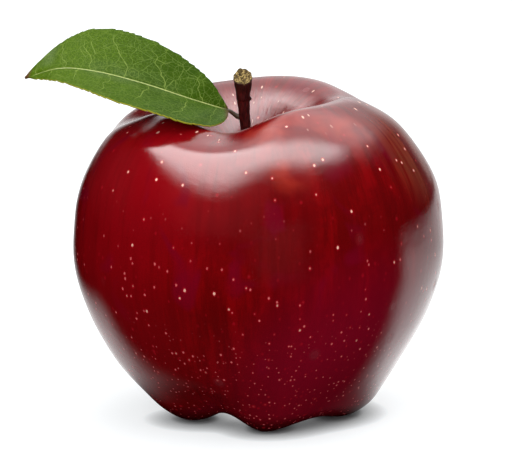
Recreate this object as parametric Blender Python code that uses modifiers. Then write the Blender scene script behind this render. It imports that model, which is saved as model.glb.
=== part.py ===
# A whole apple standing on its blossom end, with its stem and one leaf.
# Design sizes are in millimetres, measured from the middle of the stem cavity.
import bpy
import bmesh
import math
from mathutils import Vector

mm = 0.001

# Fruit: radius and height, from the cavity floor over the shoulder and down to the basin
fruitProfile = [
    (0.0, 52.8), (2.2, 53.2), (5.0, 55.6), (9.0, 60.6), (13.9, 64.7), (20.6, 67.9), (26.0, 66.9),
    (33.0, 62.6), (38.5, 52.8), (40.3, 42.3), (40.2, 32.8), (37.0, 22.8), (31.9, 13.4), (27.2, 6.6),
    (23.4, 2.2), (18.6, -0.3), (12.6, 0.3), (9.4, 4.0), (5.5, 7.8), (2.2, 9.0), (0.0, 9.2),
]
profileSteps = 2                # points made on each stretch of the profile
fruitSides = 48
shoulderHeight = 66.0           # the crown's own dips and rises are full from here up
# Valleys between the five feet: azimuth, depth, half width in degrees
footValleys = [(-116, 3.6, 22), (-52, 2.2, 27), (23, 2.1, 20), (97, 2.3, 18), (173, 5.0, 20)]
footPinch = 0.31                # how far a valley also draws the side in, per depth
frontFoot = [(-93, 1.0, 14)]    # the front foot hangs a little lower than the others
# Dips and rises round the shoulder: azimuth, depth, half width in degrees
crownDips = [(-107, 3.6, 29), (18, 1.1, 15), (172, 3.8, 33)]
crownRises = [(62, 1.9, 40), (-22, 1.9, 32), (-64, 1.6, 26), (-163, 1.0, 40)]
crownPinch = 0.7
bellyShift = 1.9                # the belly and feet stand off the cavity's axis
footShift = 1.3

# Stem: centre points from its socket to past the cut, and the radius at each
stemPoints = [
    (0.3, -0.1, 50.6), (0.0, 0.0, 56.0), (-0.4, 0.0, 62.4), (-0.7, 0.2, 66.0),
    (-0.9, 0.4, 69.0), (-0.9, 0.6, 71.4), (-1.0, 0.9, 75.6),
]
stemRadii = [1.25, 1.2, 1.2, 1.25, 1.35, 1.85, 2.05]
stemSteps = 4
stemCutPoint = (-0.9, 0.8, 73.5)
stemCutTilt = 34.0              # degrees, the broken end faces forward and up
stemCutSize = 8.0
socketRadius = 1.65
socketTop = 57.0
socketFloor = 50.0

# Leaf: midrib from the blade's base to its tip
midribPoints = [
    (-4.0, 0.0, 66.4), (-11.5, -5.0, 69.7), (-22.3, -9.0, 74.1),
    (-32.4, -10.6, 77.0), (-40.0, -10.2, 77.5), (-47.2, -8.0, 75.0),
]
petiolePoints = [(-2.35, 0.1, 64.1), (-3.1, 0.1, 65.3)]
ribRadii = [0.6, 0.55, 0.55, 0.5, 0.45, 0.4, 0.35, 0.3]
ribSteps = 4
ribEnd = 0.94                   # part of the midrib that stands out from the blade
bladeThickness = 0.5
bladeSegments = (22, 10)
# Far half rises away from the viewer, near half falls: width, shape powers, fold, unfolding, sweep
farHalf = {"width": 12.6, "rise": 0.95, "fall": 0.8, "fold": 44.0, "turn": -15.0, "sweep": 0.2}
nearHalf = {"width": 14.2, "rise": 0.35, "fall": 1.0, "fold": -8.0, "turn": -15.0, "sweep": 0.0}

# Dried flower in the basin: radius and height along a sepal, and its half width
sepalCount = 5
sepalTurn = 18.0
sepalLine = [(1.9, 8.2), (3.3, 7.2), (4.6, 5.5), (5.1, 3.4)]
sepalHalfWidths = [1.0, 1.25, 0.9, 0.15]
sepalSegments = (6, 4)
sepalThickness = 0.45
tuftProfile = [(0.0, 8.8), (0.9, 8.7), (0.75, 7.2), (1.25, 5.6), (0.9, 4.8), (0.0, 5.0)]
tuftSteps = 16

# The bounding box is centred on the origin
frameShift = (2.5, 0.1, 0.0)


def smoothStep(low, high, value):
    t = min(max((value - low) / (high - low), 0.0), 1.0)
    return t * t * (3.0 - 2.0 * t)


def swell(azimuth, waves):
    total = 0.0
    for angle, height, halfWidth in waves:
        away = (azimuth - math.radians(angle) + math.pi) % (2.0 * math.pi) - math.pi
        total += height * math.exp(-(away / math.radians(halfWidth)) ** 2)
    return total


def blendPoint(a, b, c, d, t):
    # Catmull-Rom curve between b and c
    return 0.5 * (2.0 * b + (c - a) * t + (2.0 * a - 5.0 * b + 4.0 * c - d) * t ** 2
                  + (3.0 * b - 3.0 * c + d - a) * t ** 3)


def onCurve(points, t):
    knots = [Vector(p) for p in points]
    knots = [2.0 * knots[0] - knots[1]] + knots + [2.0 * knots[-1] - knots[-2]]
    spans = len(knots) - 3
    place = min(max(t, 0.0), 1.0) * spans
    span = min(int(place), spans - 1)
    return blendPoint(*knots[span:span + 4], place - span)


def alongCurve(points, steps):
    count = (len(points) - 1) * steps
    return [onCurve(points, i / count) for i in range(count + 1)]


def turnedLine(points, steps):
    # The curve crosses the axis level, so both ends are mirrored about it
    mirrored = [(-points[1][0], points[1][1])] + points + [(-points[-2][0], points[-2][1])]
    line = alongCurve([(r, 0.0, z) for r, z in mirrored], steps)
    return line[steps:-steps]


def lobed(point):
    radius = math.hypot(point.x, point.y)
    azimuth = math.atan2(point.y, point.x)
    height = point.z
    valley = swell(azimuth, footValleys)
    dip = swell(azimuth, crownDips)
    rise = swell(azimuth, crownRises)
    crown = smoothStep(48, shoulderHeight, height) * smoothStep(2, 14, radius)
    crown *= 1.0 - 0.6 * smoothStep(22, 34, radius)
    sole = (1.0 - smoothStep(0, 16, height)) * smoothStep(1, 11, radius)
    toe = (1.0 - smoothStep(0, 12, height)) * smoothStep(8, 14, radius)
    lift = sole * valley - toe * swell(azimuth, frontFoot) + crown * (rise - dip)
    inward = smoothStep(0, 12, radius) * valley * footPinch
    inward += smoothStep(45, shoulderHeight, height) * smoothStep(6, 22, radius) * dip * crownPinch
    scale = (radius - inward) / max(radius, 1e-6)
    shift = bellyShift * (1.0 - smoothStep(48, shoulderHeight, height))
    shift += footShift * (1.0 - smoothStep(0, 14, height))
    return Vector((point.x * scale + shift, point.y * scale, height + lift))


def leafPoint(along, across):
    half = farHalf if across >= 0.0 else nearHalf
    rise, fall = half["rise"], half["fall"]
    peak = (rise / (rise + fall)) ** rise * (fall / (rise + fall)) ** fall
    reach = half["width"] * along ** rise * (1.0 - along) ** fall / peak
    fold = math.radians(half["fold"] + half["turn"] * along)
    side = Vector((half["sweep"], math.cos(fold), math.sin(fold)))
    if across < 0.0:
        side = Vector((half["sweep"], -math.cos(fold), math.sin(fold)))
    return onCurve(midribPoints, along) + side * reach * abs(across)


def sepalPoint(along, across):
    centre = onCurve([(r, 0.0, z) for r, z in sepalLine], along)
    halfWidth = onCurve([(w, 0.0, 0.0) for w in sepalHalfWidths], along).x
    return centre + Vector((0.0, across * halfWidth, 0.0))


def makeMaterial(name, color, roughness, metallic=0.0):
    material = bpy.data.materials.new(name)
    material.use_nodes = True
    shader = material.node_tree.nodes["Principled BSDF"]
    shader.inputs["Base Color"].default_value = (*color, 1.0)
    shader.inputs["Roughness"].default_value = roughness
    shader.inputs["Metallic"].default_value = metallic
    return material


def makeObject(name, data, collection, frame, material=None):
    item = bpy.data.objects.new(name, data)
    collection.objects.link(item)
    item.parent = frame
    if material:
        data.materials.append(material)
    return item


def meshFrom(bm, name):
    bmesh.ops.recalc_face_normals(bm, faces=bm.faces)
    mesh = bpy.data.meshes.new(name)
    bm.to_mesh(mesh)
    bm.free()
    mesh.shade_smooth()
    return mesh


def tubeMesh(name, points, radii, sideSteps):
    # A round bar with capped ends, its radius following the list along it
    curve = bpy.data.curves.new(name, "CURVE")
    curve.dimensions = "3D"
    curve.bevel_depth = mm
    curve.bevel_resolution = sideSteps
    curve.use_fill_caps = True
    spline = curve.splines.new("POLY")
    spline.points.add(len(points) - 1)
    for i, (knot, point) in enumerate(zip(spline.points, points)):
        share = i / (len(points) - 1)
        knot.co = (*(point * mm), 1.0)
        knot.radius = onCurve([(r, 0.0, 0.0) for r in radii], share).x
    guide = bpy.data.objects.new(name, curve)
    bpy.context.scene.collection.objects.link(guide)
    evaluated = guide.evaluated_get(bpy.context.evaluated_depsgraph_get())
    bm = bmesh.new()
    bm.from_mesh(bpy.data.meshes.new_from_object(evaluated))
    bmesh.ops.remove_doubles(bm, verts=bm.verts, dist=0.00001)
    bpy.data.objects.remove(guide)
    bpy.data.curves.remove(curve)
    return meshFrom(bm, name)


def gridMesh(name, segments, place):
    bm = bmesh.new()
    bmesh.ops.create_grid(bm, x_segments=segments[0], y_segments=segments[1], size=1.0)
    for vert in bm.verts:
        vert.co = place((vert.co.x + 1.0) / 2.0, vert.co.y) * mm
    bmesh.ops.remove_doubles(bm, verts=bm.verts, dist=0.00001)
    return meshFrom(bm, name)


def thicken(item, thickness):
    shell = item.modifiers.new("Solidify", "SOLIDIFY")
    shell.thickness = thickness * mm
    shell.offset = 0.0


def combine(item, other, operation):
    boolean = item.modifiers.new(operation.title(), "BOOLEAN")
    boolean.operation = operation
    boolean.solver = "EXACT"
    boolean.object = other


def makeCutter(item):
    item.hide_render = True
    item.display_type = "WIRE"
    return item


def buildFruit(parts, cutters, frame):
    bm = bmesh.new()
    line = [bm.verts.new(point * mm) for point in turnedLine(fruitProfile, profileSteps)]
    edges = [bm.edges.new(pair) for pair in zip(line, line[1:])]
    bmesh.ops.spin(bm, geom=line + edges, cent=(0.0, 0.0, 0.0), axis=(0.0, 0.0, 1.0),
                   angle=2.0 * math.pi, steps=fruitSides, use_merge=True)
    bmesh.ops.remove_doubles(bm, verts=bm.verts, dist=0.00001)
    for vert in bm.verts:
        vert.co = lobed(vert.co / mm) * mm
    skin = makeMaterial("skin", (0.22, 0.006, 0.012), 0.25)
    fruit = makeObject("fruit", meshFrom(bm, "fruit"), parts, frame, skin)

    bm = bmesh.new()
    bmesh.ops.create_cube(bm, size=120 * mm)
    bmesh.ops.translate(bm, verts=bm.verts, vec=(0.0, 0.0, -60 * mm))
    ground = makeCutter(makeObject("foot_cutter", meshFrom(bm, "foot_cutter"), cutters, frame))
    combine(fruit, ground, "DIFFERENCE")

    bm = bmesh.new()
    depth = socketTop - socketFloor
    bmesh.ops.create_cone(bm, cap_ends=True, segments=20, radius1=socketRadius * mm,
                          radius2=socketRadius * mm, depth=depth * mm)
    bmesh.ops.translate(bm, verts=bm.verts, vec=(0.2 * mm, 0.0, (socketFloor + depth / 2.0) * mm))
    socket = makeCutter(makeObject("socket_cutter", meshFrom(bm, "socket_cutter"), cutters, frame))
    combine(fruit, socket, "DIFFERENCE")


def buildStem(parts, cutters, frame):
    tube = tubeMesh("stem", alongCurve(stemPoints, stemSteps), stemRadii, 4)
    stem = makeObject("stem", tube, parts, frame, makeMaterial("bark", (0.05, 0.014, 0.010), 0.6))
    bm = bmesh.new()
    bmesh.ops.create_cube(bm, size=stemCutSize * mm)
    bmesh.ops.translate(bm, verts=bm.verts, vec=(0.0, 0.0, stemCutSize / 2.0 * mm))
    cutter = makeCutter(makeObject("stem_cutter", meshFrom(bm, "stem_cutter"), cutters, frame))
    cutter.location = Vector(stemCutPoint) * mm
    cutter.rotation_euler = (math.radians(stemCutTilt), 0.0, 0.0)
    combine(stem, cutter, "DIFFERENCE")


def buildLeaf(parts, cutters, frame):
    green = makeMaterial("leaf_green", (0.10, 0.24, 0.02), 0.45)
    blade = gridMesh("leaf", bladeSegments, leafPoint)
    leaf = makeObject("leaf", blade, parts, frame, green)
    thicken(leaf, bladeThickness)
    count = (len(midribPoints) - 1) * ribSteps
    line = [onCurve(midribPoints, ribEnd * i / count) for i in range(count + 1)]
    petiole = [onCurve(petiolePoints + midribPoints[:1], i / 4.0) for i in range(4)]
    rib = tubeMesh("midrib", petiole + line, ribRadii, 2)
    combine(leaf, makeCutter(makeObject("midrib", rib, cutters, frame)), "UNION")


def buildSepals(parts, frame):
    dry = makeMaterial("sepal_brown", (0.11, 0.07, 0.035), 0.75)
    mesh = gridMesh("sepal", sepalSegments, sepalPoint)
    mesh.materials.append(dry)
    for i in range(sepalCount):
        sepal = makeObject("sepal_%d" % (i + 1), mesh, parts, frame)
        sepal.location.x = (bellyShift + footShift) * mm
        sepal.rotation_euler.z = math.radians(sepalTurn + 360.0 / sepalCount * i)
        thicken(sepal, sepalThickness)


def buildTuft(parts, frame):
    bm = bmesh.new()
    line = [bm.verts.new((r * mm, 0.0, z * mm)) for r, z in tuftProfile]
    for pair in zip(line, line[1:]):
        bm.edges.new(pair)
    mesh = bpy.data.meshes.new("stamen_tuft")
    bm.to_mesh(mesh)
    bm.free()
    tuft = makeObject("stamen_tuft", mesh, parts, frame, makeMaterial("stamen_dark", (0.03, 0.02, 0.012), 0.8))
    tuft.location.x = (bellyShift + footShift) * mm
    turn = tuft.modifiers.new("Screw", "SCREW")
    turn.steps = tuftSteps
    turn.render_steps = tuftSteps
    turn.use_merge_vertices = True
    turn.merge_threshold = 0.00001


def main():
    for item in list(bpy.data.objects):
        bpy.data.objects.remove(item)
    parts = bpy.data.collections.new("apple")
    cutters = bpy.data.collections.new("cutters")
    for collection in (parts, cutters):
        bpy.context.scene.collection.children.link(collection)
    frame = bpy.data.objects.new("apple_frame", None)
    frame.location = Vector(frameShift) * mm
    parts.objects.link(frame)
    buildFruit(parts, cutters, frame)
    buildStem(parts, cutters, frame)
    buildLeaf(parts, cutters, frame)
    buildSepals(parts, frame)
    buildTuft(parts, frame)


main()
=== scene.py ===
import bpy
import bmesh
import math
import random
from mathutils import Matrix, Vector, noise


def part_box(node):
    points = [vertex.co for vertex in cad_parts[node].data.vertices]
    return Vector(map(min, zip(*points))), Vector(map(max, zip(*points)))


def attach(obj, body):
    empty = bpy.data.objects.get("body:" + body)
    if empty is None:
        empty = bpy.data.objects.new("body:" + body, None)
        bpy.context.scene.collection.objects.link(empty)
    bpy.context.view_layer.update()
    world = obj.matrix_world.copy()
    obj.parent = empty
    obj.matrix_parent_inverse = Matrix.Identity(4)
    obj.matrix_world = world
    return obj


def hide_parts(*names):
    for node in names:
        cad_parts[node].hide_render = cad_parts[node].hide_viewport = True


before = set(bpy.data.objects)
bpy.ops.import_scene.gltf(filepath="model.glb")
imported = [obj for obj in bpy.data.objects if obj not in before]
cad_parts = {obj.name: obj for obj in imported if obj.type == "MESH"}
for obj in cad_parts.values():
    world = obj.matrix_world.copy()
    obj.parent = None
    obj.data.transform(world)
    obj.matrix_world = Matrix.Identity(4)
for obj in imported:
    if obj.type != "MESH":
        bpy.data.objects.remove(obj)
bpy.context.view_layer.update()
mm = 0.001
metre = 1000.0  # in millimetres, for the materials

# The foot of the stem cavity's axis, measured from the fruit's low corner.
# Every place below is in millimetres from it.
fruitLow = Vector(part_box("fruit")[0])
home = fruitLow + Vector((37.405, 40.192, 0.0)) * mm

print("frame loaded")


def smoothStep(low, high, value):
    t = min(max((value - low) / (high - low), 0.0), 1.0)
    return t * t * (3.0 - 2.0 * t)


def swell(azimuth, waves):
    # Rounded bumps about the axis: each has an angle, a height and a half width
    total = 0.0
    for angle, height, halfWidth in waves:
        away = (azimuth - math.radians(angle) + math.pi) % (2.0 * math.pi) - math.pi
        total += height * math.exp(-(away / math.radians(halfWidth)) ** 2)
    return total


def onCurve(points, t):
    # Catmull-Rom curve through the points, t from 0 to 1
    knots = [Vector(p) for p in points]
    knots = [2.0 * knots[0] - knots[1]] + knots + [2.0 * knots[-1] - knots[-2]]
    spans = len(knots) - 3
    place = min(max(t, 0.0), 1.0) * spans
    span = min(int(place), spans - 1)
    t = place - span
    a, b, c, d = knots[span:span + 4]
    return 0.5 * (2.0 * b + (c - a) * t + (2.0 * a - 5.0 * b + 4.0 * c - d) * t ** 2
                  + (3.0 * b - 3.0 * c + d - a) * t ** 3)


def onList(values, t):
    return onCurve([(value, 0.0, 0.0) for value in values], t).x


def waver(point, size, seed=0.0):
    # Smooth noise about zero, with lumps of about the given size
    return noise.noise(point / size + Vector((seed, seed * 1.7, seed * 0.3)))


def finishMesh(bm, name, mergeAt=0.00002):
    bmesh.ops.remove_doubles(bm, verts=bm.verts, dist=mergeAt)
    bmesh.ops.recalc_face_normals(bm, faces=bm.faces)
    mesh = bpy.data.meshes.new(name)
    bm.to_mesh(mesh)
    bm.free()
    mesh.shade_smooth()
    piece = bpy.data.objects.new(name, mesh)
    bpy.context.scene.collection.objects.link(piece)
    return piece


def settle(piece, node, slot, *materials):
    for material in materials:
        piece.data.materials.append(material)
    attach(piece, "root")
    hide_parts(node)


def addGrid(bm, segments, place, layer=None, given=None):
    # A flat grid whose points (0, 0) to (1, 1) are carried to place(u, v)
    made = bmesh.ops.create_grid(bm, x_segments=segments[0], y_segments=segments[1], size=0.5)
    for vert in made["verts"]:
        u, v = vert.co.x + 0.5, vert.co.y + 0.5
        vert.co = home + place(u, v) * mm
        if layer:
            vert[layer] = given(u, v)


def addTube(bm, path, radii, sides, steps, side=Vector((1, 0, 0))):
    # A round bar along the path, closed to a point at both ends
    glance = 0.02

    def place(u, v):
        row = round(v * steps)
        t = min(max((row - 1) / (steps - 2), 0.0), 1.0)
        centre = path(t)
        ahead = (path(min(t + glance, 1.0)) - path(max(t - glance, 0.0))).normalized()
        across = ahead.cross(side).normalized()
        up = across.cross(ahead)
        radius = 0.0 if row in (0, steps) else radii(t)
        turn = 2.0 * math.pi * u
        return centre + (across * math.sin(turn) + up * math.cos(turn)) * radius

    addGrid(bm, (sides, steps), place)


fruitShape = {
    "profile": [
        (0.0, 52.8), (2.2, 53.2), (5.0, 55.6), (9.0, 60.6), (13.9, 64.7), (20.6, 67.9), (26.0, 66.9),
        (33.0, 62.6), (38.5, 52.8), (40.3, 42.3), (40.2, 32.8), (37.0, 22.8), (31.9, 13.4), (27.2, 6.6),
        (23.4, 2.2), (18.6, -0.3), (12.6, 0.3), (9.4, 4.0), (5.5, 7.8), (2.2, 9.0), (0.0, 9.2)],
    "profileSteps": 9,
    "sides": 252,
    "footValleys": [(-116, 3.6, 22), (-52, 2.2, 27), (23, 2.1, 20), (97, 2.3, 18), (173, 5.0, 20)],
    "footPinch": 0.31,
    "frontFoot": [(-93, 1.0, 14)],
    "crownDips": [(-107, 3.6, 29), (18, 1.1, 15), (172, 3.8, 33)],
    "crownRises": [(62, 1.9, 40), (-22, 1.9, 32), (-64, 1.6, 26), (-163, 1.0, 40)],
    "crownPinch": 0.7,
    "bellyShift": 1.9,
    "footShift": 1.3,
    "unevenness": 0.03,
    # Where each change to the turned shape comes in, from none to all of it
    "crownHeight": (48, 66),
    "crownInside": (2, 14),
    "crownOutside": (22, 34),
    "crownOutsideLoss": 0.6,
    "dipHeight": (45, 66),
    "dipRadius": (6, 22),
    "soleHeight": (0, 16),
    "soleRadius": (1, 11),
    "toeHeight": (0, 12),
    "toeRadius": (8, 14),
    "valleyRadius": (0, 12),
    "unevenRadius": (4, 20),
    "footHeight": (0, 14),
}


def lobed(point):
    # Carries a point of the turned shape to its place on the lobed fruit
    shape = fruitShape

    def part(zone, value):
        return smoothStep(*shape[zone], value)

    radius = math.hypot(point.x, point.y)
    azimuth = math.atan2(point.y, point.x)
    height = point.z
    valley = swell(azimuth, shape["footValleys"])
    dip = swell(azimuth, shape["crownDips"])
    rise = swell(azimuth, shape["crownRises"])
    crown = part("crownHeight", height) * part("crownInside", radius)
    crown *= 1.0 - shape["crownOutsideLoss"] * part("crownOutside", radius)
    sole = (1.0 - part("soleHeight", height)) * part("soleRadius", radius)
    toe = (1.0 - part("toeHeight", height)) * part("toeRadius", radius)
    lift = sole * valley - toe * swell(azimuth, shape["frontFoot"]) + crown * (rise - dip)
    inward = part("valleyRadius", radius) * valley * shape["footPinch"]
    inward += part("dipHeight", height) * part("dipRadius", radius) * dip * shape["crownPinch"]
    uneven = shape["unevenness"] * part("unevenRadius", radius)
    inward += uneven * (waver(point, 13.0) + 0.45 * waver(point, 6.0, 3.0))
    scale = (radius - inward) / max(radius, 1e-6)
    shift = shape["bellyShift"] * (1.0 - part("crownHeight", height))
    shift += shape["footShift"] * (1.0 - part("footHeight", height))
    return Vector((point.x * scale + shift, point.y * scale, max(height + lift, 0.0)))


def turnedLine(points, steps):
    # The curve crosses the axis level, so both ends are mirrored about it
    mirrored = [(-points[1][0], points[1][1])] + points + [(-points[-2][0], points[-2][1])]
    spans = len(mirrored) - 1
    rail = [(r, 0.0, z) for r, z in mirrored]
    return [onCurve(rail, i / (spans * steps)) for i in range(steps, (spans - 1) * steps + 1)]


def buildFruit(material):
    shape = fruitShape
    bm = bmesh.new()
    # How far each point lies down the skin from the middle of the cavity
    track = bm.verts.layers.float.new("track")
    line = []
    walked = 0.0
    for point in turnedLine(shape["profile"], shape["profileSteps"]):
        vert = bm.verts.new(point)
        if line:
            walked += (point - line[-1].co).length
        vert[track] = walked * mm
        line.append(vert)
    edges = [bm.edges.new(pair) for pair in zip(line, line[1:])]
    bmesh.ops.spin(bm, geom=line + edges, cent=(0, 0, 0), axis=(0, 0, 1),
                   angle=2.0 * math.pi, steps=shape["sides"], use_merge=True)
    for vert in bm.verts:
        vert.co = home + lobed(vert.co) * mm
    fruit = finishMesh(bm, "fruit_skin", 0.000005)
    settle(fruit, "fruit", "apple_skin", material)


stemShape = {
    "path": [(0.3, -0.1, 50.6), (0.0, 0.0, 56.0), (-0.4, 0.0, 62.4), (-0.7, 0.2, 66.0),
             (-0.9, 0.4, 69.0), (-0.9, 0.6, 71.2), (-1.0, 0.8, 73.4)],
    "radii": [1.15, 1.12, 1.15, 1.22, 1.34, 1.8, 2.0],
    "sides": 64,
    "shaftRows": 150,
    "capRows": 22,
    "cutTilt": 34.0,
    "furrow": 0.06,
    "lumps": 0.13,
    "cutLumps": 0.16,
    "scar": {"height": 68.7, "reach": 0.42, "turn": 0.1, "spread": 0.5, "rise": 0.38},
    "ledge": {"bottom": 68.2, "peak": 68.7, "top": 70.6, "rise": 0.12},
    "rimRise": 0.10,
    "rimRuffle": 0.25,
    "pit": {"place": (-0.3, 0.4, 0.0), "reach": 0.55, "depth": 1.0},
    "shards": [(0.75, 0.8, 4.0), (0.4, 0.35, 9.0)],  # height, width, seed
}


def stemPlace(u, v):
    # Up the shaft, then inwards over the broken end
    shape = stemShape
    rows = shape["shaftRows"] + shape["capRows"]
    row = round(v * rows)
    t = min(row / shape["shaftRows"], 1.0)
    inCap = max(row - shape["shaftRows"], 0) / shape["capRows"]
    turn = 2.0 * math.pi * u
    centre = onCurve(shape["path"], t)
    out = Vector((math.cos(turn), math.sin(turn), 0.0))
    spot = centre + out * 2.0
    radius = onList(shape["radii"], t)
    furrows = waver(Vector((out.x * 2.6, out.y * 2.6, spot.z * 0.22)), 0.55, 5.0)
    radius += shape["furrow"] * furrows
    radius += shape["lumps"] * waver(spot, 1.5, 2.0) * smoothStep(0.1, 0.3, t)
    radius += shape["cutLumps"] * waver(spot, 0.7, 8.0) * smoothStep(0.8, 0.95, t)
    scar = shape["scar"]
    nearScar = math.exp(-((spot.z - scar["height"]) / scar["reach"]) ** 2)
    nearScar *= math.exp(-(abs(turn - scar["turn"]) / scar["spread"]) ** 2)
    ledge = shape["ledge"]
    onLedge = smoothStep(ledge["bottom"], ledge["peak"], spot.z)
    onLedge *= 1.0 - smoothStep(ledge["peak"], ledge["top"], spot.z)
    radius += scar["rise"] * nearScar + ledge["rise"] * onLedge
    if row == 0:
        radius = 0.0
    place = centre + out * radius * (1.0 - inCap)
    tilt = math.tan(math.radians(shape["cutTilt"])) * smoothStep(0.9, 1.0, t)
    place.z += (place.y - centre.y) * tilt
    if inCap > 0.0:
        rim = math.sin(math.pi * min(inCap * 2.2, 1.0)) * shape["rimRise"]
        pit = shape["pit"]
        fromPit = (place - centre - Vector(pit["place"])).length
        sunk = pit["depth"] * math.exp(-(fromPit / pit["reach"]) ** 2)
        rough = sum(height * waver(place, width, seed) for height, width, seed in shape["shards"])
        place.z += rim - sunk + rough * smoothStep(0.0, 0.25, inCap)
    else:
        ruffle = shape["rimRuffle"] * waver(Vector((out.x, out.y, 0.0)), 0.5, 6.0)
        place.z += ruffle * smoothStep(0.94, 1.0, t)
    return place


def buildStem(material):
    shape = stemShape
    bm = bmesh.new()
    grain = bm.verts.layers.float_vector.new("grain")
    rows = shape["shaftRows"] + shape["capRows"]
    addGrid(bm, (shape["sides"], rows), stemPlace, grain, lambda u, v: (u, v, 0.0))
    stem = finishMesh(bm, "stem_bark", 0.000004)
    settle(stem, "stem", "stem_bark", material)


leafShape = {
    "midrib": [(-4.0, 0.0, 66.4), (-11.5, -5.0, 69.7), (-22.3, -9.0, 74.1),
               (-32.4, -10.6, 77.0), (-40.0, -10.2, 77.5), (-47.2, -8.0, 75.0)],
    "far": {"width": 12.6, "rise": 0.95, "fall": 0.8, "fold": 44.0, "turn": -15.0, "sweep": 0.2},
    "near": {"width": 14.2, "rise": 0.35, "fall": 1.0, "fold": -8.0, "turn": -15.0, "sweep": 0.0},
    "segments": (330, 90),
    "thickness": 0.26,
    "length": 50.0,
    "toothLength": 2.3,
    "toothDepth": 0.46,
    "veinSpacing": 7.6,
    "veinSlant": 0.30,
    "veinBend": 0.02,
    "swell": 0.22,
    "waves": 0.35,
    "crease": 0.22,
    "creaseWidth": 0.45,
    "petiole": [(-1.5, 0.1, 64.7), (-2.3, 0.1, 65.0), (-3.1, 0.1, 65.6), (-4.0, 0.0, 66.25)],
    "petioleShare": 0.12,
    "ribEnd": 0.97,
    "ribDepth": (0.40, 0.25),
    "ribRadii": [0.62, 0.36, 0.30, 0.26, 0.22, 0.18, 0.14, 0.08],
    "ribSides": 14,
    "ribRows": 90,
}


def leafReach(along, half):
    # How far the half reaches out from the midrib, widest where rise and fall meet
    rise, fall = half["rise"], half["fall"]
    peak = (rise / (rise + fall)) ** rise * (fall / (rise + fall)) ** fall
    return half["width"] * along ** rise * (1.0 - along) ** fall / peak


def leafSpot(u, v):
    # Millimetres along the midrib and out from it, and the share of the half's width
    across = v * 2.0 - 1.0
    half = leafShape["far"] if across >= 0.0 else leafShape["near"]
    return (u * leafShape["length"], across * leafReach(u, half), abs(across))


def leafPoint(along, across):
    # along runs from the base to the tip, across from the near edge at -1 to the far one at 1
    shape = leafShape
    half = shape["far"] if across >= 0.0 else shape["near"]
    reach = leafReach(along, half)
    fold = math.radians(half["fold"] + half["turn"] * along)
    sign = 1.0 if across >= 0.0 else -1.0
    side = Vector((half["sweep"], sign * math.cos(fold), math.sin(fold)))
    up = side.cross(Vector((1.0, 0.0, 0.0))) * -sign
    share = abs(across)
    far = share * reach
    # Teeth lean to the tip and are uneven along the edge
    stretch = along * shape["length"] / shape["toothLength"] + 0.8 * math.sin(along * 23.0 + sign)
    tooth = 1.0 - (stretch % 1.0)
    edge = smoothStep(0.88, 1.0, share) * smoothStep(0.02, 0.12, along) * smoothStep(0.0, 0.1, 1.0 - along)
    depth = shape["toothDepth"] * (0.6 if across >= 0.0 else 1.0)
    far += edge * depth * (tooth - 0.5 + 0.5 * waver(Vector((along * 60.0, sign, 0.0)), 1.6))
    # Side veins sink, the blade swells between them, and the edge waves
    line = along * shape["length"] - far * shape["veinSlant"] - shape["veinBend"] * far * far
    line = line / shape["veinSpacing"] + (0.5 if sign > 0 else 0.0)
    swellUp = 0.5 - 0.5 * math.cos(2.0 * math.pi * line)
    lift = shape["swell"] * swellUp * smoothStep(0.04, 0.25, share) * (1.0 - smoothStep(0.75, 1.0, share))
    wave = waver(Vector((along * 30.0, across * 6.0, 0.0)), 4.5, 7.0)
    lift += shape["waves"] * wave * smoothStep(0.2, 1.0, share)
    lift -= shape["crease"] * math.exp(-(far / shape["creaseWidth"]) ** 2)
    return onCurve(shape["midrib"], along) + side * far + up * lift


def ribPoint(t):
    # Along the petiole from the stem, then under the midrib towards the tip
    shape = leafShape
    share = shape["petioleShare"]
    if t < share:
        return onCurve(shape["petiole"], t / share)
    along = (t - share) / (1.0 - share) * shape["ribEnd"]
    atBase, atTip = shape["ribDepth"]
    return onCurve(shape["midrib"], along) - Vector((0.0, 0.05, atBase - (atBase - atTip) * along))


def buildLeaf(topMaterial, underMaterial, ribMaterial):
    shape = leafShape
    bm = bmesh.new()
    blade = bm.verts.layers.float_vector.new("blade")
    addGrid(bm, shape["segments"], lambda u, v: leafPoint(u, v * 2.0 - 1.0), blade, leafSpot)
    leaf = finishMesh(bm, "leaf_blade", 0.000003)
    if leaf.data.polygons[len(leaf.data.polygons) // 2].normal.z < 0.0:
        leaf.data.flip_normals()
    shell = leaf.modifiers.new("Thickness", "SOLIDIFY")
    shell.thickness = shape["thickness"] * mm
    shell.offset = -1.0
    shell.material_offset = 1
    shell.use_rim = True
    settle(leaf, "leaf", "leaf_blade", topMaterial, underMaterial)
    bm = bmesh.new()
    addTube(bm, ribPoint, lambda t: onList(shape["ribRadii"], t), shape["ribSides"], shape["ribRows"],
            Vector((0, 0, 1)))
    rib = finishMesh(bm, "leaf_rib", 0.000003)
    settle(rib, "leaf", "leaf_blade", ribMaterial)


flowerShape = {
    "centre": (3.2, 0.0, 0.0),
    "sepals": 5,
    "sepalLine": [(1.7, 8.7), (3.2, 7.5), (4.6, 5.6), (5.2, 3.5)],
    "sepalHalfWidths": [1.05, 1.3, 0.85, 0.08],
    "sepalTurn": 18.0,
    "sepalSegments": (26, 14),
    "sepalThickness": 0.22,
    "filaments": 16,
    "filamentLength": (2.4, 3.6),
    "filamentLean": (0.1, 0.5),
    "seed": 11,
}


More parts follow.
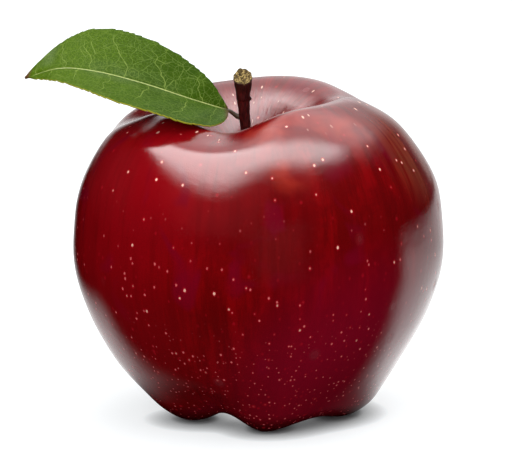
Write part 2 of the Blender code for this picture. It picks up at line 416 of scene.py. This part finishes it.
def buildSepal(index, material):
    shape = flowerShape
    angle = shape["sepalTurn"] + 360.0 / shape["sepals"] * index
    turn = Matrix.Rotation(math.radians(angle), 3, "Z")
    curl = 0.5 + 0.5 * math.sin(index * 2.4)

    def place(u, v):
        centre = onCurve([(r, 0.0, z) for r, z in shape["sepalLine"]], u)
        across = (v * 2.0 - 1.0) * onList(shape["sepalHalfWidths"], u)
        cup = 0.16 * across * across + 0.18 * waver(Vector((u * 6.0, across, index)), 1.2)
        spot = centre + Vector((cup + curl * 0.5 * u * u, across, cup * 0.6 + 0.5 * curl * u * u))
        return turn @ spot + Vector(shape["centre"])

    bm = bmesh.new()
    addGrid(bm, shape["sepalSegments"], place)
    sepal = finishMesh(bm, "sepal_blade_%d" % (index + 1), 0.000002)
    shell = sepal.modifiers.new("Thickness", "SOLIDIFY")
    shell.thickness = shape["sepalThickness"] * mm
    shell.offset = 0.0
    settle(sepal, "sepal_%d" % (index + 1), "dry_sepal", material)


def buildTuft(material):
    shape = flowerShape
    pick = random.Random(shape["seed"])
    bm = bmesh.new()
    centre = Vector(shape["centre"])
    # The stub of the styles, then the filaments round it, each with a small knob at its end
    addTube(bm, lambda t: centre + Vector((0.0, 0.0, 9.2 - 1.9 * t)), lambda t: 1.15 - 0.35 * t, 20, 10)
    for i in range(shape["filaments"]):
        turn = 2.0 * math.pi * (i + pick.uniform(-0.3, 0.3)) / shape["filaments"]
        out = Vector((math.cos(turn), math.sin(turn), 0.0))
        lean = pick.uniform(*shape["filamentLean"])
        drop = pick.uniform(*shape["filamentLength"])
        sway = pick.uniform(-0.4, 0.4)

        def path(t, out=out, lean=lean, drop=drop, sway=sway):
            bend = out * (0.55 + lean * t * t) + out.cross(Vector((0, 0, 1))) * sway * t * t
            return centre + bend + Vector((0.0, 0.0, 8.2 - drop * t))

        addTube(bm, path, lambda t: 0.1 + 0.16 * math.exp(-((t - 0.93) / 0.07) ** 2), 7, 14)
    tuft = finishMesh(bm, "stamen_hairs", 0.000002)
    settle(tuft, "stamen_tuft", "dry_stamen", material)


class Wire:
    # A node's output that works like a number in an expression
    def __init__(self, tree, socket):
        self.tree = tree
        self.socket = socket

    def maths(self, operation, first, second=None):
        node = self.tree.nodes.new("ShaderNodeMath")
        node.operation = operation
        for slot, value in zip(node.inputs, (first, second)):
            if isinstance(value, Wire):
                self.tree.links.new(value.socket, slot)
            elif value is not None:
                slot.default_value = value
        return Wire(self.tree, node.outputs[0])

    def __add__(self, other):
        return self.maths("ADD", self, other)

    def __sub__(self, other):
        return self.maths("SUBTRACT", self, other)

    def __mul__(self, other):
        return self.maths("MULTIPLY", self, other)

    def __truediv__(self, other):
        return self.maths("DIVIDE", self, other)

    def __rsub__(self, other):
        return self.maths("SUBTRACT", other, self)

    __radd__ = __add__
    __rmul__ = __mul__

    def call(self, operation, second=None):
        return self.maths(operation, self, second)


class Look:
    # The nodes of one material, or of the world
    def __init__(self, block):
        self.block = block
        block.use_nodes = True
        self.tree = block.node_tree
        self.shader = self.tree.nodes.get("Principled BSDF") or self.tree.nodes["Background"]

    def node(self, kind, settings=None, inputs=None, output=0):
        node = self.tree.nodes.new("ShaderNode" + kind)
        for name, value in (settings or {}).items():
            setattr(node, name, value)
        for name, value in (inputs or {}).items():
            self.join(node.inputs[name], value)
        return Wire(self.tree, node.outputs[output])

    def join(self, slot, value):
        if isinstance(value, Wire):
            self.tree.links.new(value.socket, slot)
        elif isinstance(value, tuple) and len(value) == 3 and slot.type == "RGBA":
            slot.default_value = (*value, 1.0)
        else:
            slot.default_value = value

    def finish(self, **inputs):
        for name, value in inputs.items():
            self.join(self.shader.inputs[name.replace("_", " ")], value)
        return self.block

    def split(self, vector):
        node = self.tree.nodes.new("ShaderNodeSeparateXYZ")
        self.tree.links.new(vector.socket, node.inputs[0])
        return [Wire(self.tree, socket) for socket in node.outputs]

    def millimetres(self):
        x, y, z = self.split(self.node("TexCoord", output="Object"))
        return (x - home.x) * metre, (y - home.y) * metre, z * metre

    def gather(self, x, y, z):
        return self.node("CombineXYZ", None, {"X": x, "Y": y, "Z": z})

    def noise(self, vector, scale, detail=2.0, roughness=0.5, warp=0.0):
        return self.node("TexNoise", None, {"Vector": vector, "Scale": scale, "Detail": detail,
                                            "Roughness": roughness, "Distortion": warp})

    def cells(self, vector, size, feature="F1"):
        # Distance, in the vector's own units, from scattered points or from the edges between them
        inputs = {"Vector": vector, "Scale": 1.0 / size}
        return self.node("TexVoronoi", {"feature": feature}, inputs, "Distance") * size

    def fade(self, value, low, high):
        # 0 at low, 1 at high, smooth between; low may be above high
        if low > high:
            return 1.0 - self.fade(value, high, low)
        return self.node("MapRange", {"interpolation_type": "SMOOTHSTEP"},
                         {"Value": value, "From Min": low, "From Max": high})

    def band(self, value, low, high, soft):
        return self.fade(value, low - soft, low + soft) * self.fade(value, high + soft, high - soft)

    def blob(self, spot, centre, inner, outer):
        # 1 inside the inner radius about a centre, 0 beyond the outer one
        away = self.node("VectorMath", {"operation": "DISTANCE"}, {0: spot, 1: centre}, "Value")
        return self.fade(away, outer, inner)

    def mix(self, amount, first, second):
        # The colour sockets of a Mix node share their names with others, so they go by number
        node = self.tree.nodes.new("ShaderNodeMix")
        node.data_type = "RGBA"
        for slot, value in zip((node.inputs[0], node.inputs[6], node.inputs[7]), (amount, first, second)):
            self.join(slot, value)
        return Wire(self.tree, node.outputs[2])

    def bump(self, height, distance, strength):
        inputs = {"Height": height, "Distance": distance, "Strength": strength}
        return self.node("Bump", None, inputs, "Normal")


def newLook(name):
    return Look(bpy.data.materials.new(name))


skinColors = {
    "red": (0.12, 0.0009, 0.0015),
    "bright": (0.198, 0.0012, 0.0024),
    "crimson": (0.15, 0.0012, 0.012),
    "maroon": (0.108, 0.0009, 0.0018),
    "rosy": (0.222, 0.0012, 0.0042),
    "wine": (0.252, 0.0018, 0.0174),
    "orange": (0.40, 0.034, 0.015),
    "olive": (0.186, 0.054, 0.024),
    "tan": (0.33, 0.165, 0.084),
    "pore": (0.93, 0.55, 0.43),
    "smallPore": (0.72, 0.165, 0.165),
    "halo": (0.42, 0.006, 0.015),
    "paintedKnockSheen": (0.21, 0.048, 0.06),
    # The sole colour is painted shade, for the feet where they meet the floor
    "sole": (0.036, 0.0012, 0.0015),
}


# Centre, and the radii inside which an area is full and beyond which it is gone
skinAreas = {
    "litUpperLeft": ((-24.0, -24.0, 56.0), 8.0, 34.0),
    "lowLeft": ((-28.0, -22.0, 20.0), 8.0, 30.0),
    "lowRight": ((22.0, -24.0, 14.0), 10.0, 36.0),
    "green": ((34.0, -8.0, 60.0), 5.0, 17.0),
    "turning": [((5.0, -25.0, 67.0), 2.0, 10.0), ((13.0, -22.0, 69.0), 1.0, 9.0),
                ((20.5, -20.0, 65.0), 1.0, 8.0), ((9.0, -33.0, 60.0), 1.0, 6.5)],
}

skinPores = {
    "spacing": 3.35,
    "small": [(2.2, 0.27, 56.0, 30.0), (1.25, 0.20, 30.0, 10.0)],  # spacing, reach, none above, all below
    "dashSpacing": 2.1,
    "knockSpacing": 12.0,
}


class Skin:
    # Where a point lies on the skin, in the ways that its patterns need
    def __init__(self, look):
        self.look = look
        self.x, self.y, self.z = look.millimetres()
        self.spot = look.gather(self.x, self.y, self.z)
        self.track = look.node("Attribute", {"attribute_name": "track"}, output="Fac") * metre
        self.radius = (self.x * self.x + self.y * self.y).call("SQRT") + 0.001
        self.east = self.x / self.radius
        self.north = self.y / self.radius

    def lengthwise(self, around, along):
        # Runs from the stem cavity down to the feet
        return self.look.gather(self.east * around, self.north * around, self.track * along)

    def drawn(self, height, shift=0.0):
        # Draws a pattern out upwards; a shift picks another stretch of it
        return self.look.gather(self.x + shift, self.y, self.z * height)

    def area(self, area):
        return self.look.blob(self.spot, *area)


def skinGround(look, skin, broad, hairs):
    # Streaks over clouds of darker and brighter red
    colors = skinColors
    streaks = look.noise(skin.lengthwise(36.0, 0.13), 1.3, 3.0, 0.65, 0.15)
    clouds = look.noise(skin.drawn(0.6), 0.05, 3.0, 0.6, 0.5)
    patches = look.noise(skin.drawn(0.8, 40.0), 0.085, 2.0, 0.5, 0.6)
    mottle = look.noise(skin.drawn(0.7), 0.17, 4.0, 0.65, 0.3)
    tone = broad * 0.62 + streaks * 0.26 + hairs * 0.12
    color = look.mix(look.fade(tone, 0.40, 0.60), colors["red"], colors["bright"])
    color = look.mix(look.fade(clouds, 0.42, 0.62) * 0.6, color, colors["maroon"])
    color = look.mix(look.fade(mottle, 0.48, 0.62) * 0.55, color, colors["maroon"])
    # Painted light: brighter rose red at the upper left, where more light falls
    litUpperLeft = skin.area(skinAreas["litUpperLeft"]) * 0.8 * look.fade(broad, 0.1, 0.55)
    color = look.mix(litUpperLeft, color, colors["rosy"])
    color = look.mix(look.fade(patches, 0.56, 0.68) * 0.6, color, colors["crimson"])
    color = look.mix(skin.area(skinAreas["lowLeft"]) * 0.55, color, colors["rosy"])
    color = look.mix(skin.area(skinAreas["lowRight"]) * 0.8, color, colors["wine"])
    # Painted shade: darker red towards the bottom, and near black at the feet where they meet the floor
    color = look.mix(look.fade(skin.z, 22.0, 6.0) * 0.15, color, colors["maroon"])
    return look.mix(look.fade(skin.z, 5.5, 0.8) * 0.9, color, colors["sole"])


def skinTurning(look, skin, broad, color):
    # The right shoulder is still turning from yellow to red
    colors = skinColors
    turning, *others = [skin.area(area) for area in skinAreas["turning"]]
    for other in others:
        turning = turning.call("MAXIMUM", other)
    color = look.mix(turning * 0.6, color, colors["bright"])
    patchy = look.fade(look.noise(skin.spot, 0.16, 2.0, 0.5, 0.4), 0.30, 0.70)
    color = look.mix(turning * patchy * 0.62, color, colors["orange"])
    green = skin.area(skinAreas["green"]) * look.fade(broad, 0.35, 0.6)
    return look.mix(green * 0.5, color, colors["olive"])


def skinEnds(look, skin, rays, inCavity, russet, color):
    # Fine pale rays in the cavity, russet round the stem, and olive in the basin
    colors = skinColors
    color = look.mix(inCavity * look.fade(rays, 0.48, 0.70) * 0.22, color, colors["orange"])
    color = look.mix(russet * 0.7, color, colors["tan"])
    basin = look.fade(skin.radius, 9.0, 5.0) * look.fade(skin.z, 14.0, 9.0)
    return look.mix(basin * 0.8, color, colors["olive"])


def skinDots(look, skin):
    # Pores: few and large above, many and small near the feet, drawn out near the rim
    flank = skin.drawn(0.72)
    sizes = look.noise(skin.spot, 0.35, 1.0) * 0.5 + 0.72
    far = look.cells(flank, skinPores["spacing"])
    large = look.fade(far / sizes, 0.33, 0.15)
    halo = look.fade(far / sizes, 0.60, 0.25) * 0.6
    small = 0.0
    for spacing, reach, top, bottom in skinPores["small"]:
        far = look.cells(flank, spacing)
        where = look.fade(skin.z, top, bottom)
        small = (look.fade(far / sizes, reach, reach * 0.5) * where).call("MAXIMUM", small)
        halo = halo.call("MAXIMUM", look.fade(far / sizes, reach * 1.9, reach * 0.8) * where * 0.5)
    dashes = look.fade(look.cells(skin.lengthwise(22.0, 0.42), skinPores["dashSpacing"]), 0.27, 0.12)
    dashes = dashes * look.fade(skin.z, 59.0, 64.0)
    dashes = dashes * look.fade(skin.radius, 30.0, 24.0) * look.fade(skin.radius, 5.0, 9.0)
    return large.call("MAXIMUM", dashes), small, halo


def skinFinish():
    look = newLook("apple_skin")
    colors = skinColors
    skin = Skin(look)
    broad = look.noise(skin.lengthwise(30.0, 0.07), 0.45, 3.0, 0.6, 0.2)
    hairs = look.noise(skin.lengthwise(36.0, 0.2), 3.6, 2.0, 0.6)
    rays = look.noise(skin.lengthwise(30.0, 0.05), 2.6, 3.0, 0.7)
    inCavity = look.fade(skin.radius, 22.0, 15.0) * look.fade(skin.z, 46.0, 52.0)
    rust = look.noise(skin.spot, 0.9, 3.0, 0.6)
    russet = look.fade(skin.radius + rust * 5.0, 8.0, 5.0) * look.fade(skin.z, 46.0, 50.0)
    color = skinGround(look, skin, broad, hairs)
    color = skinTurning(look, skin, broad, color)
    color = skinEnds(look, skin, rays, inCavity, russet, color)
    large, small, halo = skinDots(look, skin)
    color = look.mix(halo, color, colors["halo"])
    # A few small knocked spots that dulled the wax, each with a painted grey reflection in its colour
    knocksAndSheen = look.fade(look.cells(skin.drawn(0.8, 7.0), skinPores["knockSpacing"]), 1.7, 0.5)
    color = look.mix(knocksAndSheen * 0.12, color, colors["paintedKnockSheen"])
    color = look.mix(small * 0.85, color, colors["smallPore"])
    color = look.mix(large * look.fade(skin.z, 5.0, 40.0) * 0.85, color, colors["pore"])
    pores = large.call("MAXIMUM", small)
    grain = look.noise(skin.spot, 2.2, 2.0, 0.6)
    rough = 0.105 + grain * 0.04 + pores * 0.2 + knocksAndSheen * 0.18
    rough = rough + inCavity * (rays * 0.16 - 0.02) + russet * 0.25
    fine = look.noise(skin.spot, 4.5, 1.0, 0.5)
    height = look.noise(skin.spot, 0.5, 1.0, 0.5) * 0.35 + fine * 0.26 + hairs * 0.06
    height = height - pores * 0.35 + rays * inCavity
    return look.finish(Base_Color=color, Roughness=rough, IOR=1.47, Normal=look.bump(height, 0.00012, 0.5))


barkColors = {
    "furrow": (0.0108, 0.0009, 0.0012),
    "ridge": (0.072, 0.0045, 0.0045),
    "blotch": (0.036, 0.006, 0.0048),
    "collar": (0.0195, 0.0048, 0.0036),
    "pit": (0.066, 0.036, 0.012),
    "wood": (0.51, 0.375, 0.144),
    "shard": (0.057, 0.036, 0.0135),
    "hole": (0.0105, 0.0048, 0.003),
}


def barkFinish():
    look = newLook("stem_bark")
    colors = barkColors
    x, y, z = look.millimetres()
    spot = look.gather(x, y, z)
    upward = look.split(look.node("Attribute", {"attribute_name": "grain"}, output="Vector"))[1]
    fibres = look.noise(look.gather(x, y, z * 0.14), 5.0, 4.0, 0.65)
    blotch = look.noise(spot, 0.9, 3.0, 0.6)
    pits = look.noise(spot, 3.2, 3.0, 0.7)
    bark = look.mix(look.fade(fibres, 0.38, 0.66), colors["furrow"], colors["ridge"])
    bark = look.mix(look.fade(blotch, 0.5, 0.7) * 0.5, bark, colors["blotch"])
    bark = look.mix(look.fade(z, 69.5, 71.5) * 0.65, bark, colors["collar"])
    wood = look.mix(look.fade(pits, 0.40, 0.62), colors["pit"], colors["wood"])
    shards = look.noise(spot, 1.3, 1.0, 0.5)
    wood = look.mix(look.fade(shards, 0.46, 0.56) * 0.85, wood, colors["shard"])
    wood = look.mix(look.blob(spot, (-1.5, 1.3, 74.0), 0.30, 0.75), wood, colors["hole"])
    # The broken end starts where the grid turns inwards from the shaft
    cut = look.fade(upward, 0.868, 0.884)
    color = look.mix(cut, bark, wood)
    rough = 0.52 + cut * 0.3 + fibres * 0.1
    height = fibres * 0.8 + pits * 0.35
    return look.finish(Base_Color=color, Roughness=rough, Specular_IOR_Level=0.08,
                       Normal=look.bump(height, 0.00016, 0.7))


leafColors = {
    "blade": (0.0495, 0.105, 0.0048),
    "dark": (0.025, 0.062, 0.003),
    "light": (0.096, 0.168, 0.0072),
    "vein": (0.216, 0.3, 0.06),
    "rim": (0.345, 0.315, 0.024),
    "paintedLeafSheen": (0.156, 0.216, 0.09),
    "brown": (0.105, 0.048, 0.018),
    "under": (0.12, 0.195, 0.072),
    "ribDark": (0.225, 0.285, 0.06),
    "ribPale": (0.36, 0.405, 0.105),
    "petiole": (0.040, 0.022, 0.009),
}


def leafFinish(name, under=False):
    look = newLook(name)
    colors = leafColors
    along, across, share = look.split(look.node("Attribute", {"attribute_name": "blade"}, output="Vector"))
    out = across.call("ABSOLUTE")
    flat = look.gather(along, across, 0.0)
    # Side veins, a net between them, and a fine mesh within the net
    drift = look.noise(flat, 0.22, 2.0, 0.5) - 0.5
    slant = look.fade(across, -0.2, 0.2) * 0.26 + 0.04
    line = (along - out * slant - out * out * 0.018 + drift * 4.5) / leafShape["veinSpacing"]
    line = line + look.fade(across, -0.1, 0.1) * 0.42
    away = ((line - line.call("FLOOR")) - 0.5).call("ABSOLUTE") * leafShape["veinSpacing"]
    side = look.fade(away, 0.14, 0.03) * look.fade(share, 0.9, 0.6)
    wobble = look.gather(along + drift * 2.0, across + look.noise(flat, 0.5, 1.0) * 0.5, 0.0)
    net = look.fade(look.cells(wobble, 3.3, "DISTANCE_TO_EDGE"), 0.05, 0.01)
    net = net * (look.fade(across, -3.0, 1.0) * 0.6 + 0.4)
    mesh = look.fade(look.cells(wobble, 1.1, "DISTANCE_TO_EDGE"), 0.06, 0.015)
    grain = look.cells(flat, 0.34)
    rib = look.fade(out, 0.19, 0.06) * look.fade(along, 41.0, 24.0)
    veins = rib.call("MAXIMUM", side * 0.8).call("MAXIMUM", net * 0.62).call("MAXIMUM", mesh * 0.28)
    tone = look.noise(flat, 0.12, 3.0, 0.6)
    color = look.mix(look.fade(tone, 0.35, 0.65), colors["dark"], colors["blade"])
    color = look.mix(look.fade(along, 10.0, 36.0) * 0.75 + 0.15, color, colors["light"])
    if under:
        color = look.mix(0.75, color, colors["under"])
    # Painted highlight: pale patches along the middle of the midrib and near the tip, where the leaf catches
    # the light
    paintedLeafSheen = look.fade(out, 4.5, 0.5) * look.band(along, 15.0, 31.0, 6.0)
    paintedLeafSheen = paintedLeafSheen.call("MAXIMUM", look.band(along, 42.0, 46.0, 1.5) * look.fade(across, 0.5, 2.5))
    color = look.mix(paintedLeafSheen * look.fade(tone, 0.3, 0.7) * 0.6, color, colors["paintedLeafSheen"])
    color = look.mix(look.fade(grain, 0.06, 0.20) * 0.6, color, colors["dark"])
    color = look.mix(veins * 0.92, color, colors["vein"])
    edge = look.fade(share, 0.975, 0.995) * look.fade(across, 2.0, -2.0)
    color = look.mix(edge * 0.8, color, colors["rim"])
    color = look.mix(look.fade(along, 48.0, 49.6), color, colors["brown"])
    color = look.mix(look.fade(along, 1.6, 0.2) * 0.8, color, colors["brown"])
    rough = 0.34 - veins * 0.04 + grain * 0.15
    height = grain * 0.7 - veins * 0.55 + look.noise(flat, 1.1, 2.0) * 0.6
    if under:
        height = height * -1.0
    return look.finish(Base_Color=color, Roughness=rough, Specular_IOR_Level=0.016,
                       Normal=look.bump(height, 0.00016, 0.6))


def ribFinish():
    look = newLook("leaf_rib")
    x, y, z = look.millimetres()
    streak = look.noise(look.gather(x, y, z), 2.0, 2.0, 0.6)
    color = look.mix(look.fade(streak, 0.4, 0.6), leafColors["ribDark"], leafColors["ribPale"])
    color = look.mix(look.fade(x, -6.5, -4.2), color, leafColors["petiole"])
    return look.finish(Base_Color=color, Roughness=0.5, Normal=look.bump(streak, 0.0001, 0.5))


# The last value draws the pattern out upwards where it is below 1000
driedLooks = {
    "dry_sepal": ((0.035, 0.020, 0.010), (0.19, 0.13, 0.065), 400.0),
    "dry_stamen": ((0.012, 0.008, 0.005), (0.070, 0.045, 0.025), 300.0),
}


def driedFinish(name):
    look = newLook(name)
    dark, pale, drawn = driedLooks[name]
    x, y, z = look.split(look.node("TexCoord", output="Object"))
    spot = look.gather(x * metre, y * metre, z * drawn)
    curl = look.noise(spot, 1.6, 4.0, 0.7)
    fuzz = look.noise(spot, 6.0, 2.0, 0.6)
    color = look.mix(look.fade(curl, 0.35, 0.65), dark, pale)
    color = look.mix(look.fade(fuzz, 0.55, 0.75) * 0.5, color, dark)
    rough = 0.75 + fuzz * 0.2
    return look.finish(Base_Color=color, Roughness=rough, Normal=look.bump(curl + fuzz * 0.5, 0.00025, 0.8))


print("building the fruit")
buildFruit(skinFinish())
print("building the stem and leaf")
buildStem(barkFinish())
buildLeaf(leafFinish("leaf_top"), leafFinish("leaf_under", True), ribFinish())
print("building the dried flower")
sepalFinish = driedFinish("dry_sepal")
for number in range(flowerShape["sepals"]):
    buildSepal(number, sepalFinish)
buildTuft(driedFinish("dry_stamen"))


# Fills are placed in millimetres and aimed at the apple, with a size and watts each
studio = {
    "aim": (1.85, 0.0, 38.85),
    "elevation": 12.5,
    "distance": 1100.0,
    "lens": 358.7,
    "floorSize": 8.0,
    "wallRadius": 6.0,
    "floorColor": (0.294, 0.300, 0.306),
    "floorShade": (0.280, 0.288, 0.297),
    "floorLight": 0.83,
    "floorTint": (0.965, 0.99, 1.0),
    "wallLight": 1.15,
    "wallTop": (0.93, 0.95, 0.97),
    "fills": [
        {"place": (230, 0, 1000), "size": (1650, 1150), "power": 15.0},
        {"place": (-600, -1250, 850), "size": (1300, 1100), "power": 16.5},
        {"place": (350, -1400, 160), "size": (900, 700), "power": 9.0},
        {"place": (-1300, 250, 700), "size": (900, 900), "power": 7.0},
        {"place": (800, 1300, 500), "size": (900, 900), "power": 9.0},
        {"place": (0, 200, -500), "size": (1800, 1800), "power": 2.5}],
    "softbox": 11.5,
    "backBand": 0.6,
    "silverCard": 1.5,
    "cardCentre": (15.0, 150.0, 161.0),
    "cardSize": 0.32,
    "tableGlow": 1.875,
    "glowSize": 5.0,
    "fillAim": (0.0, 0.0, 35.0),
    "room": 0.012,
}


def floorFinish():
    look = newLook("pale_floor")
    spot = look.node("TexCoord", output="Object")
    speck = look.noise(spot, 260.0, 2.0, 0.5)
    color = look.mix(look.fade(speck, 0.3, 0.7), studio["floorColor"], studio["floorShade"])
    # Painted contact shadow: the floor's own light fades where the apple stands close, at three distances
    near, close, wide = [look.node("AmbientOcclusion", {"samples": 8}, {"Distance": reach}, "AO")
                         for reach in (0.005, 0.0014, 0.035)]
    shine = look.mix(near * close * (wide * 0.22 + 0.78), (0.0, 0.0, 0.0), studio["floorTint"])
    return look.finish(Base_Color=color, Roughness=0.92, Emission_Color=shine,
                       Emission_Strength=studio["floorLight"])


def wallFinish():
    look = newLook("pale_wall")
    height = look.split(look.node("TexCoord", output="Object"))[2]
    color = look.mix(look.fade(height, 0.0, 5.0), (1.0, 1.0, 1.0), studio["wallTop"])
    return look.finish(Base_Color=(0.0, 0.0, 0.0), Emission_Color=color,
                       Emission_Strength=studio["wallLight"])


def buildStage():
    bm = bmesh.new()
    bmesh.ops.create_grid(bm, x_segments=1, y_segments=1, size=studio["floorSize"] / 2.0)
    floor = finishMesh(bm, "studio_floor")
    floor.data.materials.append(floorFinish())
    bm = bmesh.new()
    bmesh.ops.create_uvsphere(bm, u_segments=48, v_segments=24, radius=studio["wallRadius"])
    wall = finishMesh(bm, "studio_wall")
    wall.data.materials.append(wallFinish())
    for piece in (floor, wall):
        piece.visible_glossy = False
        piece.visible_diffuse = False
        piece.visible_shadow = False


def glowFinish():
    # Bright table behind and beside the apple, dark in front of it, and a painted shadow under it
    look = newLook("table_glow")
    x, y, z = look.millimetres()
    nearEdge = (x + 26.0).call("MINIMUM", 0.0) * -0.49 + (x - 90.0).call("MAXIMUM", 0.0) * 0.12
    nearEdge = nearEdge - 16.0 + look.fade(x, 0.0, 30.0) * 8.0
    leftEdge = x + (y - 80.0).call("MAXIMUM", 0.0) * 0.2
    # Painted shadow: the sheet goes dark within about 22 to 38 mm of the apple's axis
    lit = look.fade(y - nearEdge, -9.0, 10.0) * look.fade((x * x + y * y).call("SQRT"), 22.0, 38.0)
    lit = lit * look.fade(leftEdge, -92.0, -50.0) * look.fade(x, 500.0, 250.0)
    # Brighter on the right, and weaker further back
    level = 1.0 + look.fade(x, 20.0, 50.0) * 0.36 - look.fade(y, 10.0, 180.0) * 0.6
    level = level.call("MAXIMUM", look.fade(y, 150.0, 400.0) * 0.8)
    shine = look.mix(lit * level / 1.5, (0.0, 0.0, 0.0), (1.0, 1.0, 1.0))
    return look.finish(Base_Color=(0.0, 0.0, 0.0), Specular_IOR_Level=0.0, Emission_Color=shine,
                       Emission_Strength=studio["tableGlow"])


def buildGlow():
    # A sheet just under the floor, which only reflections see
    bm = bmesh.new()
    bmesh.ops.create_grid(bm, x_segments=1, y_segments=1, size=studio["glowSize"] / 2.0)
    bmesh.ops.translate(bm, verts=bm.verts, vec=(0.0, 0.0, -0.2 * mm))
    glow = finishMesh(bm, "table_glow")
    glow.data.materials.append(glowFinish())
    glow.visible_camera = False
    glow.visible_diffuse = False
    glow.visible_shadow = False


def cardFinish():
    look = newLook("back_card")
    x, y, z = look.millimetres()
    shape = look.fade(x, -40.0, 15.0) * look.fade(x, 110.0, 40.0)
    shape = shape * look.fade(z, 4.0, 60.0) * look.fade(z, 240.0, 130.0)
    shine = look.mix(look.fade(z, 70.0, 115.0), (0.55, 0.55, 0.55), (1.0, 1.0, 1.0))
    return look.finish(Base_Color=(0.0, 0.0, 0.0), Specular_IOR_Level=0.0, Emission_Color=shine,
                       Alpha=shape, Emission_Strength=studio["silverCard"])


def buildCard():
    # A soft-edged card close behind, which gives the far rim its silver edge
    bm = bmesh.new()
    bmesh.ops.create_grid(bm, x_segments=1, y_segments=1, size=studio["cardSize"] / 2.0)
    bmesh.ops.rotate(bm, verts=bm.verts, cent=(0, 0, 0), matrix=Matrix.Rotation(math.radians(90.0), 3, "X"))
    bmesh.ops.translate(bm, verts=bm.verts, vec=home + Vector(studio["cardCentre"]) * mm)
    card = finishMesh(bm, "back_card")
    card.data.materials.append(cardFinish())
    card.visible_camera = False
    card.visible_diffuse = False
    card.visible_shadow = False


def addFill(number, fill):
    light = bpy.data.lights.new("fill_%d" % number, "AREA")
    light.shape = "RECTANGLE"
    light.size = fill["size"][0] * mm
    light.size_y = fill["size"][1] * mm
    light.energy = fill["power"]
    lamp = bpy.data.objects.new("fill_%d" % number, light)
    bpy.context.scene.collection.objects.link(lamp)
    lamp.location = home + Vector(fill["place"]) * mm
    ahead = home + Vector(studio["fillAim"]) * mm - lamp.location
    lamp.rotation_euler = ahead.to_track_quat("-Z", "Y").to_euler()
    lamp.visible_camera = False
    lamp.visible_glossy = False


def lightRoom():
    # What the wax mirrors: a softbox overhead, its spill, and a pale band behind. Across and
    # depth tell where a direction meets a ceiling of height 1, to the right and to the back.
    world = bpy.data.worlds.new("studio_room")
    bpy.context.scene.world = world
    world.cycles_visibility.diffuse = False
    look = Look(world)
    x, y, z = look.split(look.node("TexCoord", output="Generated"))
    up = z.call("MAXIMUM", 0.02)
    across = x / up
    depth = y / up
    box = look.fade(across, -0.74, -0.52) * look.fade(across, 1.15, 0.78) * look.fade(z, 0.30, 0.42)
    box = box * look.fade(depth, -0.64, -0.34) * look.fade(depth - across * 0.9, -1.15, -0.82)
    box = box * look.fade(depth + across.call("MINIMUM", 0.0), 0.36, -0.04)
    box = box * (1.02 - look.fade(across, -0.25, 0.35) * 0.14) * studio["softbox"]
    spill = look.fade(across, -0.54, -0.3) * look.fade(across, 1.5, 0.85) * look.band(depth, 0.2, 1.05, 0.18)
    spill = spill * (look.fade(across, -0.1, 0.15) * 0.9 + 2.1) * look.fade(z, 0.2, 0.5)
    spread = look.fade(across, -0.5, -0.2) * look.fade(across, 1.7, 0.2) * look.fade(depth, 0.6, 1.1)
    spill = spill.call("MAXIMUM", spread * look.fade(depth, 3.2, 1.5) * 2.0)
    level = (x * x + y * y).call("SQRT") + 0.001
    behind = y / level
    turned = look.fade(x, 0.05, -0.2) * 0.05
    wall = look.fade(behind - turned, 0.83, 0.90) * look.fade(z, 0.18, 0.06) * look.fade(z, -0.08, -0.03)
    glow = look.fade(behind, 0.3, 0.9) * look.fade(z, 0.75, 0.05) * look.fade(z, -0.1, 0.05) * 0.65
    glow = glow * look.fade(x, -0.1, 0.06) * (1.0 - look.fade(x, 0.35, 0.6) * 0.9)
    pale = wall.call("MAXIMUM", glow) * studio["backBand"]
    total = box.call("MAXIMUM", spill).call("MAXIMUM", pale) + studio["room"]
    look.finish(Color=(1.0, 0.985, 0.985), Strength=total)


def buildCamera():
    camera = bpy.data.cameras.new("studio_camera")
    camera.lens = studio["lens"]
    camera.sensor_width = 36.0
    camera.clip_end = 50.0  # past the wall
    eye = bpy.data.objects.new("studio_camera", camera)
    bpy.context.scene.collection.objects.link(eye)
    tilt = math.radians(studio["elevation"])
    aim = home + Vector(studio["aim"]) * mm
    eye.location = aim - Vector((0.0, math.cos(tilt), -math.sin(tilt))) * studio["distance"] * mm
    eye.rotation_euler = (math.radians(90.0) - tilt, 0.0, 0.0)
    bpy.context.scene.camera = eye


print("setting up the studio")
buildStage()
buildGlow()
buildCard()
for number, fill in enumerate(studio["fills"]):
    addFill(number + 1, fill)
lightRoom()
buildCamera()
bpy.context.scene.view_settings.view_transform = "Standard"
